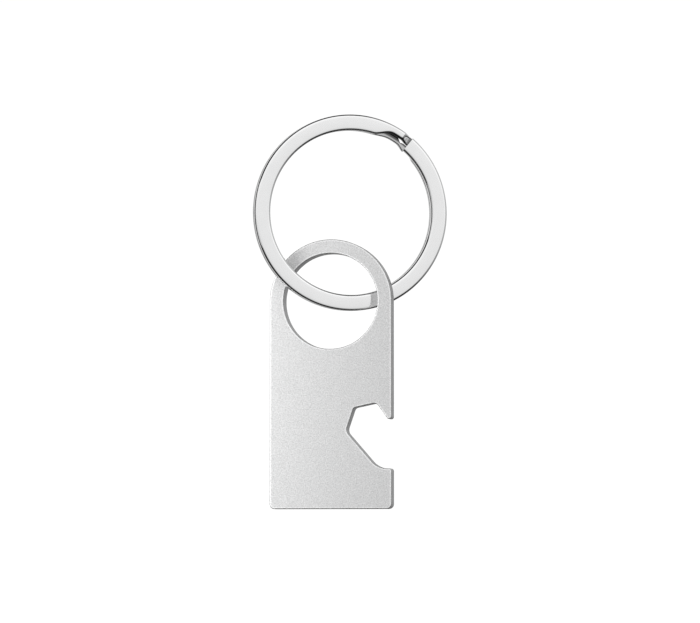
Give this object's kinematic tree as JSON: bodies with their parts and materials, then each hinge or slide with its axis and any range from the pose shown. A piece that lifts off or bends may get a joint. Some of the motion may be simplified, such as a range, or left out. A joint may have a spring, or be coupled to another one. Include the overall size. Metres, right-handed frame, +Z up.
{
  "type": "keychain bottle opener",
  "caption": "Flat metal opener plate with an arched top, a round ring hole and a side notch that lifts crown caps, threaded on a flat split ring that springs open for keys.",
  "frame": {"origin": "the hang point: the top of the ring's inside at mid thickness, where a hook or a belt loop holds it", "axes": "+Z up along the plate, -Y out of the plate's front face, +X towards the side with the cap notch"},
  "size_m": [0.0305, 0.0147, 0.0648],
  "materials": {
    "plate_metal": "bead-blasted and clear anodised, fine matt grain with tumbled edges",
    "ring_steel": "polished nickel-plated spring steel"
  },
  "bodies": {
    "ring": {"split_ring": "ring_steel"},
    "spring_leaf": {"ring_spring_leaf": "ring_steel"},
    "opener": {"opener_plate": "plate_metal"}
  },
  "joints": [
    {"name": "plate_swing", "type": "hinge", "parent": "ring", "child": "opener", "pos_m": [-0.00333, 0.00055, -0.02808], "axis": [0, 0, -1], "range_deg": [0, 129]},
    {"name": "leaf_lift", "type": "hinge", "parent": "ring", "child": "spring_leaf", "pos_m": [0.01056, 0.00584, -0.02427], "axis": [0.6311, 0.2256, 0.7421], "range_deg": [0, 10], "stiffness_Nm_per_rad": 1.2}
  ]
}
